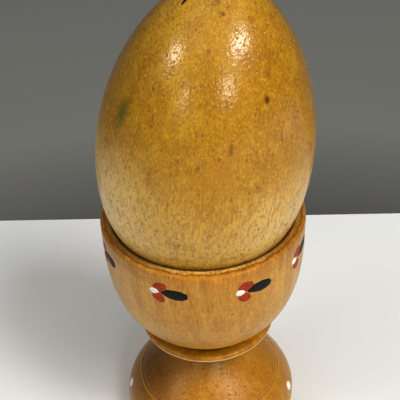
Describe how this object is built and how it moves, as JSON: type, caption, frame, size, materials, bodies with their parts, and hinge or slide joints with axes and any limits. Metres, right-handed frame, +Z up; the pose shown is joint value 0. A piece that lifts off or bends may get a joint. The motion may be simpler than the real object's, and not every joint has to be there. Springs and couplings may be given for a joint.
{
  "type": "egg shaker",
  "caption": "Hollow turned wooden egg shaker, part filled with loose round shot, standing pointed end up in its turned wooden cup with a collar and a bell foot.",
  "frame": {"origin": "centre of the cup's flat base", "axes": "+Z up along the cup's turning axis; the side seen from the front faces -Y; the egg's own axis leans 8.3 degrees off +Z, towards +X and a little towards -Y"},
  "size_m": [0.0461, 0.0453, 0.1152],
  "materials": {
    "cup_wood": "lacquered, painted with small flowers",
    "egg_wood": "lacquered",
    "plug_wood": "lacquered",
    "shot_steel": "polished"
  },
  "bodies": {
    "cup": {"cup": "cup_wood"},
    "egg": {"egg_shell": "egg_wood", "egg_plug": "plug_wood"},
    "shot_lower": {"shot_01": "shot_steel", "shot_02": "shot_steel", "shot_03": "shot_steel", "shot_04": "shot_steel", "shot_05": "shot_steel", "shot_06": "shot_steel", "shot_07": "shot_steel", "shot_08": "shot_steel", "shot_09": "shot_steel", "shot_10": "shot_steel", "shot_11": "shot_steel", "shot_12": "shot_steel", "shot_13": "shot_steel", "shot_14": "shot_steel", "shot_15": "shot_steel", "shot_16": "shot_steel", "shot_17": "shot_steel", "shot_18": "shot_steel", "shot_19": "shot_steel"},
    "shot_middle": {"shot_20": "shot_steel", "shot_21": "shot_steel", "shot_22": "shot_steel", "shot_23": "shot_steel", "shot_24": "shot_steel", "shot_25": "shot_steel", "shot_26": "shot_steel", "shot_27": "shot_steel", "shot_28": "shot_steel", "shot_29": "shot_steel", "shot_30": "shot_steel", "shot_31": "shot_steel"},
    "shot_upper": {"shot_32": "shot_steel", "shot_33": "shot_steel", "shot_34": "shot_steel", "shot_35": "shot_steel", "shot_36": "shot_steel", "shot_37": "shot_steel", "shot_38": "shot_steel"}
  },
  "joints": [
    {"name": "egg_lift", "type": "slide", "parent": "cup", "child": "egg", "axis": [0, 0, 1], "range_m": [0, 0.04]},
    {"name": "shot_lower_rise", "type": "slide", "parent": "egg", "child": "shot_lower", "axis": [0.1356, -0.0494, 0.9895], "range_m": [0, 0.01]},
    {"name": "shot_middle_rise", "type": "slide", "parent": "shot_lower", "child": "shot_middle", "axis": [0.1356, -0.0494, 0.9895], "range_m": [0, 0.01]},
    {"name": "shot_upper_rise", "type": "slide", "parent": "shot_middle", "child": "shot_upper", "axis": [0.1356, -0.0494, 0.9895], "range_m": [0, 0.01]}
  ]
}
